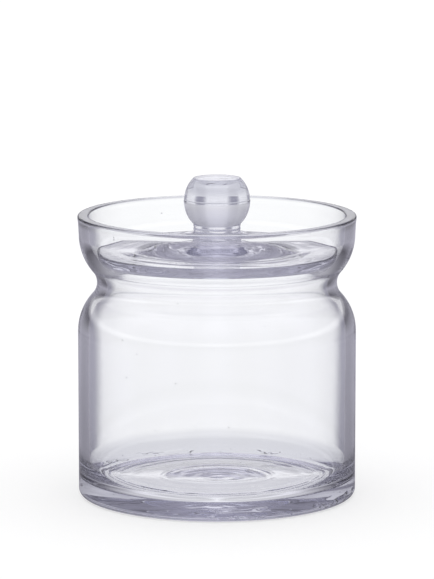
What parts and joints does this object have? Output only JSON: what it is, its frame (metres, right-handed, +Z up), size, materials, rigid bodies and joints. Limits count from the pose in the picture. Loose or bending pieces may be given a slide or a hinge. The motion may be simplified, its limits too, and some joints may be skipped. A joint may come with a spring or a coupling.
{
  "type": "specimen jar",
  "caption": "Clear glass jar with a straight wall, a pinched waist, a flared collar and a drop-in glass lid lifted by a ball knob.",
  "frame": {"origin": "centre of the foot, on the surface that the jar stands on", "axes": "+Z up, along the axis that every piece is turned about; +X and +Y are alike"},
  "size_m": [0.1306, 0.1306, 0.15],
  "materials": {
    "blown_glass": "fire-polished, faintly grey-violet, slightly wavy",
    "pressed_glass": "polished, faintly grey-violet"
  },
  "bodies": {
    "jar": {"jar_body": "blown_glass"},
    "lid": {"lid_plate": "pressed_glass", "lid_knob": "pressed_glass"}
  },
  "joints": [
    {"name": "lid_lift", "type": "slide", "parent": "jar", "child": "lid", "axis": [0, 0, 1], "range_m": [0, 0.08]}
  ]
}
